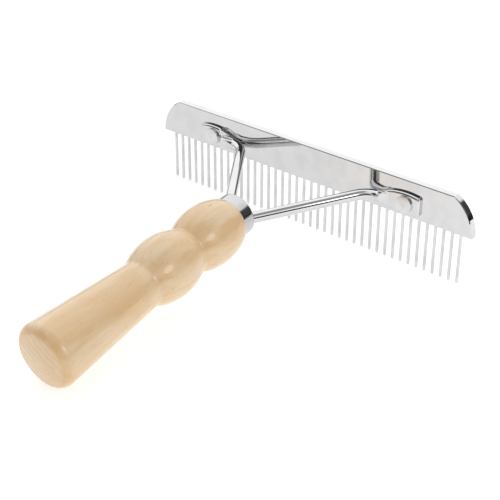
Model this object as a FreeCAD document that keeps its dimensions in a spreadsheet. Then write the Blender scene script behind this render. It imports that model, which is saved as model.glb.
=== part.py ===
import FreeCAD, Part
import math
import os
import types

import Sketcher

# Deshedding rake, in millimetres. A flat steel bar carries one row of straight steel pins. Two
# round steel rods run from the back of the bar to a chromed ferrule: each rod is flattened to a
# paddle and riveted to the bar, bends back into a V, bends again inside the ferrule and ends as a
# tang in the turned wooden handle.
#
# The tool stands on its pin tips and on the lower rim of the handle's end, both at Z = 0.
# X runs along the bar, +Y is the way the pins' row faces, away from the handle, and +Z is up.
# The origin is the middle of the footprint's box. Nothing on the tool moves.

DIMENSIONS = {
    # Bar: a flat strip on edge, each end cut to an arc centred on its lower edge's line.
    "bar_length": 178.0,
    "bar_height": 17.6,
    "bar_thickness": 3.9,
    "bar_end_radius": 20.3,
    "bar_edge_break": 0.35,
    # Pins: pressed into blind holes in the bar's lower edge.
    "pin_count": 40,
    "pin_pitch": 4.25,
    "pin_diameter": 1.45,
    "pin_exposed": 25.0,
    "pin_embedded": 9.0,
    # Rods: the V lies in a plane that rises towards the bar.
    "rod_diameter": 5.0,
    "rod_angle": 33.3,
    "rod_slope": 5.2,
    "rod_height": 6.9,
    "rod_spread": 38.4,
    "rod_bar_bend": 11.0,
    "rod_ferrule_bend": 8.0,
    "tang_offset": 2.75,
    "tang_length": 45.0,
    # Paddles: the rods' flattened ends, widest at the rivets.
    "paddle_start": 41.0,
    "paddle_end": 63.1,
    "paddle_half_width": 5.3,
    "paddle_side_radius": 33.0,
    "paddle_thickness": 2.0,
    "paddle_corner": 1.2,
    "paddle_rounding": 0.55,
    "press_mark_end": 46.5,
    "press_mark_radius": 7.5,
    # Rivets: a low round head on the paddle, set flush in the bar's front face.
    "rivet_offset": 55.5,
    "rivet_shank": 4.5,
    "rivet_head": 8.0,
    "rivet_head_wall": 1.0,
    "rivet_head_dome": 0.4,
    "rivet_head_rounding": 0.3,
    "countersink": 1.2,
    # Ferrule: a drawn cup over the handle's tenon. Distances run back from its front face.
    "ferrule_diameter": 19.5,
    "ferrule_wall": 1.0,
    "ferrule_length": 7.2,
    "ferrule_rounding": 1.6,
    "ferrule_gap": 49.3,
    # Handle: two beads and a tapered grip on one axis, lower at the back.
    "handle_tilt": 7.0,
    "tenon_front": 3.0,
    "shoulder_radius": 10.5,
    "shoulder_rounding": 0.7,
    "bead_curve": 28.8,
    "groove_place": 34.6,
    "groove_radius": 10.7,
    "neck_place": 62.5,
    "groove_rounding": 1.0,
    "grip_taper": 4.25,
    "grip_end_radius": 14.6,
    "grip_corner": 4.5,
    "grip_corner_place": 115.3,
    "grip_dome": 60.0,
    "slot_depth": 7.7,
    "slot_reach": 7.1,
    "bore_clearance": 0.1,
}


class Size:
    """A number together with the sheet expression that gives it."""

    def __init__(self, value, text):
        self.value = value
        self.text = text

    def __add__(self, other):
        other = as_size(other)
        return Size(self.value + other.value, f"({self.text} + {other.text})")

    def __sub__(self, other):
        other = as_size(other)
        return Size(self.value - other.value, f"({self.text} - {other.text})")

    def __mul__(self, other):
        other = as_size(other)
        return Size(self.value * other.value, f"({self.text} * {other.text})")

    def __truediv__(self, other):
        other = as_size(other)
        return Size(self.value / other.value, f"({self.text} / {other.text})")

    def __neg__(self):
        return Size(-self.value, f"(0 - {self.text})")


def as_size(number):
    return number if isinstance(number, Size) else Size(float(number), str(float(number)))


def root(size):
    return Size(math.sqrt(size.value), f"sqrt({size.text})")


def sine(angle):
    return Size(math.sin(math.radians(angle.value)), f"sin({angle.text})")


def cosine(angle):
    return Size(math.cos(math.radians(angle.value)), f"cos({angle.text})")


def tangent(angle):
    return Size(math.tan(math.radians(angle.value)), f"tan({angle.text})")


def arc_height(radius, distance):
    """How high a circle stands over its centre's level at a distance from that centre."""
    return root(radius * radius - distance * distance)


def make_sheet(doc):
    """Write every driving dimension to its own named cell."""
    sheet = doc.addObject("Spreadsheet::Sheet", "sizes")
    for row, (alias, number) in enumerate(DIMENSIONS.items(), start=1):
        sheet.set(f"A{row}", alias)
        sheet.set(f"B{row}", str(number))
        sheet.setAlias(f"B{row}", alias)
    doc.recompute()
    return types.SimpleNamespace(**{
        alias: Size(float(sheet.get(alias)), f"sizes.{alias}") for alias in DIMENSIONS
    })


doc = FreeCAD.newDocument("deshedding_rake")
dim = make_sheet(doc)

# Places that follow from the driving dimensions.
rod_radius = dim.rod_diameter / 2
ferrule_radius = dim.ferrule_diameter / 2
ferrule_bore = ferrule_radius - dim.ferrule_wall
pin_radius = dim.pin_diameter / 2

# The handle's end: a rounded corner between the taper and a shallow dome.
corner_circle = dim.grip_end_radius - dim.grip_corner
dome_reach = dim.grip_dome - dim.grip_corner
dome_rise = arc_height(dome_reach, corner_circle)
dome_centre = dim.grip_corner_place - dome_rise

# The ferrule's front centre is the handle's own origin. It stands so high that the rounded
# corner under the handle's end just reaches Z = 0.
ferrule_z = (dim.grip_corner_place * sine(dim.handle_tilt)
             + corner_circle * cosine(dim.handle_tilt) + dim.grip_corner)
overall_depth = (dim.bar_thickness + dim.ferrule_gap
                 + dome_centre * cosine(dim.handle_tilt) + dim.grip_dome)
bar_back_y = overall_depth / 2 - dim.bar_thickness
ferrule_y = bar_back_y - dim.ferrule_gap
paddle_z = dim.pin_exposed + dim.rod_height

# Where the rods' lines cross the ferrule's front plane, in the handle's own frame.
tilt_difference = dim.handle_tilt - dim.rod_slope
rise_to_paddle = paddle_z - ferrule_z
rod_run = (dim.ferrule_gap * cosine(dim.handle_tilt)
           + rise_to_paddle * sine(dim.handle_tilt)) / cosine(tilt_difference)
rod_cross_x = dim.rod_spread - rod_run * tangent(dim.rod_angle)
rod_cross_z = ((rod_run * cosine(dim.rod_slope) - dim.ferrule_gap) * sine(dim.handle_tilt)
               + (rise_to_paddle - rod_run * sine(dim.rod_slope)) * cosine(dim.handle_tilt))


def make_body(name, y, z, x=0, tilt=None):
    """Add an empty body at its place in the tool's frame."""
    body = doc.addObject("PartDesign::Body", name)
    body.Label = name
    body.Placement = FreeCAD.Placement(FreeCAD.Vector(), FreeCAD.Rotation(FreeCAD.Vector(1, 0, 0), 1))
    for axis, place in (("x", x), ("y", y), ("z", z)):
        body.setExpression(f"Placement.Base.{axis}", as_size(place).text)
    body.setExpression("Placement.Rotation.Angle", as_size(tilt or 0).text)
    return body


def make_sketch(body, role, name):
    """Add a sketch on one of the body's own origin planes."""
    plane = next(feature for feature in body.Origin.OriginFeatures if feature.Role == role)
    sketch = body.newObject("Sketcher::SketchObject", f"{body.Name}_{name}")
    sketch.AttachmentSupport = [(plane, "")]
    sketch.MapMode = "FlatFace"
    return sketch


def move_sketch(sketch, x=0, y=0, z=0, turn=None):
    """Shift a sketch within its plane's frame, then turn it about its own X axis."""
    turn = as_size(turn or 0)
    start = FreeCAD.Rotation(FreeCAD.Vector(1, 0, 0), 1)
    sketch.AttachmentOffset = FreeCAD.Placement(FreeCAD.Vector(), start)
    for axis, shift in (("x", x), ("y", y), ("z", z)):
        sketch.setExpression(f"AttachmentOffset.Base.{axis}", as_size(shift).text)
    sketch.setExpression("AttachmentOffset.Rotation.Angle", turn.text)


def pin_down(sketch, geometry, point, x, y):
    """Fix a sketch point by its distances from the sketch's axes."""
    for kind, axis, place in (("DistanceX", -2, as_size(x)), ("DistanceY", -1, as_size(y))):
        if abs(place.value) < 1e-9:
            sketch.addConstraint(Sketcher.Constraint("PointOnObject", geometry, point, axis))
        elif place.value > 0:
            index = sketch.addConstraint(
                Sketcher.Constraint(kind, -1, 1, geometry, point, place.value))
            sketch.setExpression(f"Constraints[{index}]", place.text)
        else:
            index = sketch.addConstraint(
                Sketcher.Constraint(kind, geometry, point, -1, 1, -place.value))
            sketch.setExpression(f"Constraints[{index}]", (-place).text)


def draw_circle(sketch, x, y, radius):
    centre = FreeCAD.Vector(as_size(x).value, as_size(y).value, 0)
    circle = sketch.addGeometry(Part.Circle(centre, FreeCAD.Vector(0, 0, 1), radius.value))
    pin_down(sketch, circle, 3, x, y)
    index = sketch.addConstraint(Sketcher.Constraint("Radius", circle, radius.value))
    sketch.setExpression(f"Constraints[{index}]", radius.text)


def arc_between(start, end, radius, side):
    """The short arc from start to end. Its centre is on the left for side 1, the right for -1."""
    middle = (start + end) * 0.5
    chord = end - start
    across = FreeCAD.Vector(-chord.y, chord.x, 0).normalize()
    centre = middle + across * side * math.sqrt(radius ** 2 - (chord.Length / 2) ** 2)
    first, last = (start, end) if side > 0 else (end, start)
    angles = [math.atan2(point.y - centre.y, point.x - centre.x) for point in (first, last)]
    return Part.ArcOfCircle(Part.Circle(centre, FreeCAD.Vector(0, 0, 1), radius), *angles)


def draw_path(sketch, corners, closed=True):
    """Draw lines and arcs through the corners, each given as (x, y) or (x, y, radius, side).

    The radius and side belong to the stretch that leaves the corner.
    """
    places = [(as_size(corner[0]), as_size(corner[1])) for corner in corners]
    count = len(corners) if closed else len(corners) - 1
    ends = []
    for index in range(count):
        following = (index + 1) % len(corners)
        start, end = (
            FreeCAD.Vector(places[k][0].value, places[k][1].value, 0) for k in (index, following))
        if len(corners[index]) == 2:
            piece = sketch.addGeometry(Part.LineSegment(start, end))
            ends.append((piece, 1, 2))
            continue
        radius, side = corners[index][2:]
        piece = sketch.addGeometry(arc_between(start, end, radius.value, side))
        number = sketch.addConstraint(Sketcher.Constraint("Radius", piece, radius.value))
        sketch.setExpression(f"Constraints[{number}]", radius.text)
        ends.append((piece, 1, 2) if side > 0 else (piece, 2, 1))
    for index in range(count if closed else count - 1):
        piece, _, last = ends[index]
        following, first, _ = ends[(index + 1) % count]
        sketch.addConstraint(Sketcher.Constraint("Coincident", piece, last, following, first))
    for index, (x, y) in enumerate(places):
        if index < count:
            pin_down(sketch, ends[index][0], ends[index][1], x, y)
        else:
            pin_down(sketch, ends[-1][0], ends[-1][2], x, y)


def add_feature(body, kind, name, profile, **settings):
    """Add a feature that is made from a sketch. A Size setting is bound to the sheet."""
    feature = body.newObject(f"PartDesign::{kind}", f"{body.Name}_{name}")
    feature.Profile = profile
    for setting, value in settings.items():
        if isinstance(value, Size):
            feature.setExpression(setting, value.text)
        else:
            setattr(feature, setting, value)
    body.Tip = feature
    doc.recompute()
    return feature


def spin(body, name, sketch):
    """Turn a profile round the sketch's vertical axis."""
    return add_feature(body, "Revolution", name, sketch, ReferenceAxis=(sketch, ["V_Axis"]), Angle=360)


def cut(body, name, sketch, **settings):
    """Pocket a sketch into the body, and make sure that it takes something away."""
    before = body.Shape.Volume
    feature = add_feature(body, "Pocket", name, sketch, **settings)
    if feature.Shape.Volume > before - 0.1:
        raise RuntimeError(f"{feature.Name} cuts nothing")
    return feature


def dress(body, kind, name, size, wanted):
    """Fillet or chamfer the edges of the body's last feature that pass the test."""
    base = body.Tip
    edges = [f"Edge{number}" for number, edge in enumerate(base.Shape.Edges, start=1) if wanted(edge)]
    if not edges:
        raise RuntimeError(f"{body.Name}_{name} finds no edge")
    feature = body.newObject(f"PartDesign::{kind}", f"{body.Name}_{name}")
    feature.Base = (base, edges)
    feature.setExpression("Radius" if kind == "Fillet" else "Size", size.text)
    body.Tip = feature
    doc.recompute()
    return feature


def is_near(value, target):
    return abs(value - as_size(target).value) < 1e-3


def spans(edge, axis):
    """How far an edge reaches along X, Y or Z."""
    return getattr(edge.BoundBox, f"{axis}Length")


def circle_radius(edge):
    """The radius of a round edge, or 0 for any other edge."""
    if edge.Degenerated or not isinstance(edge.Curve, Part.Circle):
        return 0
    return edge.Curve.Radius


def make_head_bar():
    """The strip: its own origin is the middle of the lower edge, on the back face."""
    body = make_body("head_bar", bar_back_y, dim.pin_exposed)
    half = dim.bar_length / 2
    top = half - dim.bar_end_radius + arc_height(dim.bar_end_radius, dim.bar_height)
    outline = make_sketch(body, "XZ_Plane", "outline")
    draw_path(outline, [
        (-half, 0),
        (half, 0, dim.bar_end_radius, 1),
        (top, dim.bar_height),
        (-top, dim.bar_height, dim.bar_end_radius, 1),
    ])
    add_feature(body, "Pad", "strip", outline, Length=dim.bar_thickness, Reversed=True)
    dress(body, "Chamfer", "edge_break", dim.bar_edge_break,
          lambda edge: is_near(spans(edge, "Y"), 0))

    rivet_holes = make_sketch(body, "XZ_Plane", "rivet_holes")
    for side in (-1, 1):
        draw_circle(rivet_holes, dim.rivet_offset * side, dim.rod_height, dim.rivet_shank / 2)
    cut(body, "rivet_drilling", rivet_holes, Length=dim.bar_thickness)
    front = as_size(dim.bar_thickness).value
    dress(body, "Chamfer", "countersinks", dim.countersink,
          lambda edge: is_near(circle_radius(edge), dim.rivet_shank / 2)
          and is_near(edge.BoundBox.YMin, front))

    pin_hole = make_sketch(body, "XY_Plane", "pin_hole")
    first_pin = -(dim.pin_pitch * (dim.pin_count - 1) / 2)
    draw_circle(pin_hole, first_pin, dim.bar_thickness / 2, pin_radius)
    drilling = cut(body, "pin_drilling", pin_hole, Length=dim.pin_embedded, Reversed=True)
    row = body.newObject("PartDesign::LinearPattern", "head_bar_pin_row")
    row.Originals = [drilling]
    row.Direction = (pin_hole, ["H_Axis"])
    row.setExpression("Length", (dim.pin_pitch * (dim.pin_count - 1)).text)
    row.setExpression("Occurrences", dim.pin_count.text)
    before = drilling.Shape.Volume
    body.Tip = row
    doc.recompute()
    if row.Shape.Volume > before - 1:
        raise RuntimeError("the row of pin holes is missing")


def make_pin(number):
    """One pin: its own origin is on the bar's lower edge, and its tip is round."""
    place = dim.pin_pitch * (as_size(number) - (dim.pin_count + 1) / 2)
    body = make_body(f"pin_{number:02d}", bar_back_y + dim.bar_thickness / 2, dim.pin_exposed, x=place)
    profile = make_sketch(body, "XZ_Plane", "profile")
    draw_path(profile, [
        (0, -dim.pin_exposed, pin_radius, 1),
        (pin_radius, pin_radius - dim.pin_exposed),
        (pin_radius, dim.pin_embedded),
        (0, dim.pin_embedded),
    ])
    spin(body, "shaft", profile)


def make_arm(name, side):
    """One rod with its paddle. Its own origin is where the rods' plane meets the bar's back."""
    body = make_body(name, bar_back_y, paddle_z)

    # The paddle: a lens between two long arcs, squared off at its outer end.
    start = dim.paddle_start * side
    end = dim.paddle_end * side
    sagging = dim.paddle_side_radius - dim.paddle_half_width
    start_half = arc_height(dim.paddle_side_radius, dim.rivet_offset - dim.paddle_start) - sagging
    end_half = arc_height(dim.paddle_side_radius, dim.paddle_end - dim.rivet_offset) - sagging
    outline = make_sketch(body, "XZ_Plane", "paddle_outline")
    draw_path(outline, [
        (start, -start_half, dim.paddle_side_radius, side),
        (end, -end_half),
        (end, end_half, dim.paddle_side_radius, side),
        (start, start_half),
    ])
    add_feature(body, "Pad", "paddle", outline, Length=dim.paddle_thickness)
    dress(body, "Fillet", "paddle_corners", dim.paddle_corner,
          lambda edge: is_near(edge.BoundBox.XMin, end) and is_near(spans(edge, "X"), 0)
          and is_near(spans(edge, "Z"), 0))
    outer_face = -dim.paddle_thickness.value
    dress(body, "Fillet", "paddle_rim", dim.paddle_rounding,
          lambda edge: is_near(edge.BoundBox.YMax, outer_face) and is_near(spans(edge, "Y"), 0)
          and not is_near(edge.BoundBox.XMax if side > 0 else edge.BoundBox.XMin, start))

    # The rod's centre line, in the rods' plane: tang, ferrule bend, V, bar bend, paddle.
    spine = make_sketch(body, "XY_Plane", "centre_line")
    move_sketch(spine, turn=dim.rod_slope)
    bar_corner_y = -(rod_radius / cosine(dim.rod_slope))
    bar_corner_x = dim.rod_spread + bar_corner_y * tangent(dim.rod_angle)
    ferrule_corner_y = (dim.tang_offset - dim.rod_spread) / tangent(dim.rod_angle)
    tang_end = ferrule_corner_y - dim.tang_length
    ferrule_step = dim.rod_ferrule_bend * tangent(dim.rod_angle / 2)
    bar_step = dim.rod_bar_bend * tangent(as_size(45) - dim.rod_angle / 2)
    across = sine(dim.rod_angle)
    along = cosine(dim.rod_angle)
    draw_path(spine, [
        (dim.tang_offset * side, tang_end),
        (dim.tang_offset * side, ferrule_corner_y - ferrule_step, dim.rod_ferrule_bend, -side),
        ((dim.tang_offset + ferrule_step * across) * side, ferrule_corner_y + ferrule_step * along),
        ((bar_corner_x - bar_step * across) * side, bar_corner_y - bar_step * along,
         dim.rod_bar_bend, -side),
        ((bar_corner_x + bar_step) * side, bar_corner_y),
        (dim.press_mark_end * side, bar_corner_y),
    ], closed=False)
    section = make_sketch(body, "XZ_Plane", "section")
    move_sketch(section, x=dim.tang_offset * side, y=tang_end * sine(dim.rod_slope),
                z=-(tang_end * cosine(dim.rod_slope)), turn=dim.rod_slope)
    draw_circle(section, 0, 0, rod_radius)
    add_feature(body, "AdditivePipe", "rod", section,
                Spine=(spine, [f"Edge{number}" for number in range(1, 6)]))

    # The press leaves a hollow where the round rod runs down to the flat paddle.
    mark = make_sketch(body, "XY_Plane", "press_mark")
    clear = dim.rod_diameter * 2
    rod_back = dim.rod_diameter + 0.5
    mark_centre = dim.paddle_thickness + dim.press_mark_radius
    mark_start = dim.press_mark_end - arc_height(dim.press_mark_radius, mark_centre - rod_back)
    beyond = dim.press_mark_end + dim.rod_diameter
    draw_path(mark, [
        (mark_start * side, -rod_back, dim.press_mark_radius, -side),
        (dim.press_mark_end * side, -dim.paddle_thickness),
        (beyond * side, -dim.paddle_thickness),
        (beyond * side, -clear),
        (mark_start * side, -clear),
    ])
    cut(body, "press_hollow", mark, Length=clear, SideType="Symmetric")

    hole = make_sketch(body, "XZ_Plane", "rivet_hole")
    draw_circle(hole, dim.rivet_offset * side, 0, dim.rivet_shank / 2)
    cut(body, "rivet_drilling", hole, Length=dim.paddle_thickness, Reversed=True)


def make_rivet(name, side):
    """One rivet: its own origin is on its axis, where the paddle meets the bar."""
    body = make_body(name, bar_back_y, paddle_z, x=dim.rivet_offset * side)
    profile = make_sketch(body, "XY_Plane", "profile")
    shank = dim.rivet_shank / 2
    head = dim.rivet_head / 2
    wall = dim.paddle_thickness + dim.rivet_head_wall
    dome = (head * head + dim.rivet_head_dome * dim.rivet_head_dome) / (dim.rivet_head_dome * 2)
    draw_path(profile, [
        (0, -(wall + dim.rivet_head_dome), dome, 1),
        (head, -wall),
        (head, -dim.paddle_thickness),
        (shank, -dim.paddle_thickness),
        (shank, dim.bar_thickness - dim.countersink),
        (shank + dim.countersink, dim.bar_thickness),
        (0, dim.bar_thickness),
    ])
    spin(body, "rivet", profile)
    dress(body, "Fillet", "head_rounding", dim.rivet_head_rounding,
          lambda edge: is_near(edge.BoundBox.YMin, -wall) and is_near(spans(edge, "Y"), 0)
          and is_near(spans(edge, "X"), dim.rivet_head))


def make_ferrule():
    """The cup: its own origin is the middle of its front face."""
    body = make_body("ferrule", ferrule_y, ferrule_z, tilt=dim.handle_tilt)
    profile = make_sketch(body, "XY_Plane", "profile")
    shoulder = ferrule_radius - dim.ferrule_rounding
    draw_path(profile, [
        (0, -dim.ferrule_wall),
        (ferrule_bore, -dim.ferrule_wall),
        (ferrule_bore, -dim.ferrule_length),
        (ferrule_radius, -dim.ferrule_length),
        (ferrule_radius, -dim.ferrule_rounding, dim.ferrule_rounding, 1),
        (shoulder, 0),
        (0, 0),
    ])
    spin(body, "cup", profile)

    # Each rod passes the front face through a hole drilled along the rod's own direction.
    slant = FreeCAD.Vector(math.sin(math.radians(dim.rod_angle.value)),
                           math.cos(math.radians(dim.rod_angle.value)), 0)
    slant = FreeCAD.Rotation(FreeCAD.Vector(1, 0, 0), -tilt_difference.value).multVec(slant)
    for side, label in ((-1, "left"), (1, "right")):
        hole = make_sketch(body, "XZ_Plane", f"{label}_rod_hole")
        normal = FreeCAD.Vector(-slant.x * side, -slant.z, slant.y)
        hole.AttachmentOffset = FreeCAD.Placement(
            FreeCAD.Vector(), FreeCAD.Rotation(FreeCAD.Vector(0, 0, 1), normal))
        hole.setExpression("AttachmentOffset.Base.x", (rod_cross_x * side).text)
        hole.setExpression("AttachmentOffset.Base.y", rod_cross_z.text)
        draw_circle(hole, 0, 0, rod_radius + dim.bore_clearance / 2)
        cut(body, f"{label}_drilling", hole, Length=dim.rod_diameter * 2, SideType="Symmetric")


def make_handle():
    """The turned handle, in the ferrule's frame: its axis is Y, and the grip runs to -Y."""
    body = make_body("handle", ferrule_y, ferrule_z, tilt=dim.handle_tilt)
    taper_x = corner_circle + dim.grip_corner * cosine(dim.grip_taper)
    taper_y = dim.grip_corner_place - dim.grip_corner * sine(dim.grip_taper)
    neck = taper_x - (taper_y - dim.neck_place) * tangent(dim.grip_taper)
    dome_scale = dim.grip_dome / dome_reach
    profile = make_sketch(body, "XY_Plane", "profile")
    draw_path(profile, [
        (0, -dim.tenon_front),
        (0, -(dome_centre + dim.grip_dome), dim.grip_dome, 1),
        (corner_circle * dome_scale, -(dome_centre + dome_rise * dome_scale), dim.grip_corner, 1),
        (taper_x, -taper_y),
        (neck, -dim.neck_place, dim.bead_curve, 1),
        (dim.groove_radius, -dim.groove_place, dim.bead_curve, 1),
        (dim.shoulder_radius, -dim.ferrule_length),
        (ferrule_bore, -dim.ferrule_length),
        (ferrule_bore, -dim.tenon_front),
    ])
    spin(body, "turning", profile)
    for label, place, size in (
        ("grooves", (dim.groove_place, dim.neck_place), dim.groove_rounding),
        ("shoulder", (dim.ferrule_length,), dim.shoulder_rounding),
    ):
        places = [-spot.value for spot in place]
        dress(body, "Fillet", f"{label}_rounding", size,
              lambda edge: circle_radius(edge) > ferrule_radius.value
              and is_near(spans(edge, "Y"), 0)
              and any(is_near(edge.BoundBox.YMin, spot) for spot in places))

    # A slot in the tenon gives the rods' bends room, and two bores hold the tangs.
    slot_height = rod_radius + dim.bore_clearance
    slot = make_sketch(body, "XZ_Plane", "slot_outline")
    move_sketch(slot, y=rod_cross_z)
    draw_path(slot, [
        (-dim.slot_reach, -slot_height),
        (dim.slot_reach, -slot_height),
        (dim.slot_reach, slot_height),
        (-dim.slot_reach, slot_height),
    ])
    cut(body, "slot", slot, Length=dim.slot_depth, Reversed=True)
    bores = make_sketch(body, "XZ_Plane", "bore_outlines")
    move_sketch(bores, y=rod_cross_z, turn=-tilt_difference)
    for side in (-1, 1):
        draw_circle(bores, dim.tang_offset * side, 0, rod_radius)
    tang_reach = (dim.rod_spread - dim.tang_offset) / tangent(dim.rod_angle) - rod_run
    cut(body, "bores", bores, Length=tang_reach + dim.tang_length, Reversed=True)


def check_document():
    """Stop if any object failed, or if a sub-part's shape isn't one sound solid."""
    for item in doc.Objects:
        if "Invalid" in item.State or "Error" in item.State:
            raise RuntimeError(f"{item.Name} failed: {item.State}")
    bodies = [item for item in doc.Objects if item.isDerivedFrom("PartDesign::Body")]
    for body in bodies:
        shape = body.Shape
        if shape.isNull() or not shape.isValid() or len(shape.Solids) != 1:
            raise RuntimeError(f"{body.Label} isn't one valid solid")
    return bodies


def main():
    make_head_bar()
    for number in range(1, DIMENSIONS["pin_count"] + 1):
        make_pin(number)
    for word, side in (("left", -1), ("right", 1)):
        make_arm(f"{word}_arm", side)
        make_rivet(f"{word}_rivet", side)
    make_ferrule()
    make_handle()
    doc.recompute()
    bodies = check_document()
    os.makedirs("parts", exist_ok=True)
    for body in bodies:
        body.Shape.exportStep(f"parts/{body.Label}.step")
        box = body.Shape.BoundBox
        print(f"{body.Label}: {body.Shape.Volume:.1f} mm3, X {box.XMin:.2f} to {box.XMax:.2f}, "
              f"Y {box.YMin:.2f} to {box.YMax:.2f}, Z {box.ZMin:.2f} to {box.ZMax:.2f}")


main()
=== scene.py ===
import math

import bpy
from bpy.props import FloatProperty, FloatVectorProperty, PointerProperty
from mathutils import Matrix, Vector, noise


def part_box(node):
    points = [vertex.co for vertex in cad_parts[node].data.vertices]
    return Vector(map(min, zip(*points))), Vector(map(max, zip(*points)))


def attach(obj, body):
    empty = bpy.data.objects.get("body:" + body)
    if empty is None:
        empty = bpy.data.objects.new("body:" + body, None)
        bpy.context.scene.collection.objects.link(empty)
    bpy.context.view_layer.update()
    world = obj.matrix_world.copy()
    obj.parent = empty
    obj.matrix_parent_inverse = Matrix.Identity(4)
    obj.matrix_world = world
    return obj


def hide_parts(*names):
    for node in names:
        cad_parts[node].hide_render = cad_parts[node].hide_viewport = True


bl_info = {
    "name": "Deshedding rake",
    "version": (1, 0, 0),
    "blender": (4, 5, 0),
    "location": "3D View > Sidebar > Rake",
    "description": "Builds the looks of a steel pin rake with a turned wooden handle",
    "category": "Object",
}

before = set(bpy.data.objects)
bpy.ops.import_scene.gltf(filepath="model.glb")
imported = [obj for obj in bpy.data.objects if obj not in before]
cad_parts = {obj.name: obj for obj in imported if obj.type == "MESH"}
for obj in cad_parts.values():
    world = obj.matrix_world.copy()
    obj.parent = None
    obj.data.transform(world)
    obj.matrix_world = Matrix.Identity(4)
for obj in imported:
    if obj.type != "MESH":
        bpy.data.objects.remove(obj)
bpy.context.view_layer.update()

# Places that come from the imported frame, in metres. X runs along the bar, the pins' row faces +Y,
# and the tool stands on Z = 0.
BAR_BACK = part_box("head_bar")[0].y
RIVET_LOW, RIVET_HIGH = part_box("right_rivet")
PADDLE_Z = (RIVET_LOW.z + RIVET_HIGH.z) / 2
RIVET_X = (RIVET_LOW.x + RIVET_HIGH.x) / 2
PIN_NODES = sorted(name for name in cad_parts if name.startswith("pin_"))
MM = 0.001
TINY = 1e-12


# ---------------------------------------------------------------------------------------------
# Sizes, colours and places that a user would change
# ---------------------------------------------------------------------------------------------

def length(name, description, millimetres):
    return FloatProperty(name=name, description=description, default=millimetres * MM,
                         min=0.0, precision=5, unit="LENGTH")


def angle(name, description, degrees):
    return FloatProperty(name=name, description=description, default=math.radians(degrees),
                         subtype="ANGLE")


def colour(name, description, red, green, blue):
    return FloatVectorProperty(name=name, description=description, default=(red, green, blue),
                               size=3, min=0.0, max=1.0, subtype="COLOR")


def share(name, description, value):
    return FloatProperty(name=name, description=description, default=value, min=0.0, max=1.0,
                         subtype="FACTOR")


class RakeArmSizes(bpy.types.PropertyGroup):
    """The two rods that run from the bar into the handle."""

    rod_diameter: length("Rod diameter", "Round stock of each rod", 5.0)
    v_angle: angle("V angle", "Angle of each rod to the handle's own direction", 33.3)
    slope: angle("Slope", "Rise of the rods towards the bar", 5.2)
    spread: length("Spread", "Where each rod's line meets the bar, from the middle", 38.4)
    bar_bend: length("Bar bend", "Radius of the bend beside the bar", 11.0)
    ferrule_bend: length("Ferrule bend", "Radius of the bend inside the ferrule", 8.0)
    tang_offset: length("Tang offset", "Each tang's distance from the middle", 2.75)
    tang_length: length("Tang length", "Straight end inside the handle", 45.0)
    paddle_end: length("Paddle end", "Outer end of the paddle, from the middle", 63.1)
    paddle_half_width: length("Paddle half width", "Half the paddle's width at the rivet", 5.3)
    paddle_side: length("Paddle side radius", "Radius of the paddle's long sides", 33.0)
    paddle_thickness: length("Paddle thickness", "Flattened thickness", 2.0)
    paddle_corner: length("Paddle corner", "Radius of the paddle's outer corners", 1.2)
    paddle_rounding: length("Paddle rounding", "Rounding of the paddle's outer rim", 1.25)
    paddle_inner_rounding: length("Inner rounding", "Rounding of its rim beside the bar", 0.10)
    left_press_end: length("Left press end", "Where the left press step ends, from the middle", 51.0)
    right_press_end: length("Right press end", "The same on the right rod", 47.0)
    step_rounding: length("Step rounding", "Softness of the press step's edges", 0.30)
    flange_slope: FloatProperty(name="Flange slope",
                                description="Steepness of the round rod's side on its flange",
                                default=4.0, min=0.0)
    press_radius: length("Press mark radius", "Radius of the press hollow", 3.2)


class RakeHandleSizes(bpy.types.PropertyGroup):
    """The turned handle. Distances run back from the ferrule's front face."""

    ferrule_gap: length("Ferrule gap", "Ferrule's front face to the bar's back", 49.3)
    ferrule_length: length("Ferrule length", "How far the ferrule covers the tenon", 7.2)
    tenon_radius: length("Tenon radius", "Radius inside the ferrule", 8.75)
    tenon_front: length("Tenon front", "Start of the tenon", 3.0)
    tilt: angle("Tilt", "How far the handle drops towards its end", 7.0)
    shoulder_radius: length("Shoulder radius", "Wood beside the ferrule", 10.5)
    shoulder_rounding: length("Shoulder rounding", "Soft edge beside the ferrule", 0.7)
    bead_curve: length("Bead curve", "Radius of each bead's long curve", 28.8)
    groove_place: length("Groove place", "Groove between the two beads", 34.6)
    groove_radius: length("Groove radius", "Radius at the bottom of that groove", 10.7)
    groove_rounding: length("Groove rounding", "How soft both grooves are", 0.5)
    neck_place: length("Neck place", "Groove between the beads and the grip", 62.5)
    grip_taper: angle("Grip taper", "Half angle of the grip's taper", 4.25)
    grip_end_radius: length("Grip end radius", "Largest radius, at the end", 14.6)
    grip_corner: length("Grip corner", "Rounding of the grip's end", 4.5)
    grip_corner_place: length("Grip corner place", "Centre of that rounding", 115.3)
    grip_dome: length("Grip dome", "Radius of the end's shallow dome", 60.0)
    hand_finish: length("Hand finish", "Depth of the sanding's unevenness", 0.05)
    flaw_place: length("Flaw place", "Small pin knot on top of the first bead", 17.7)


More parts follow.
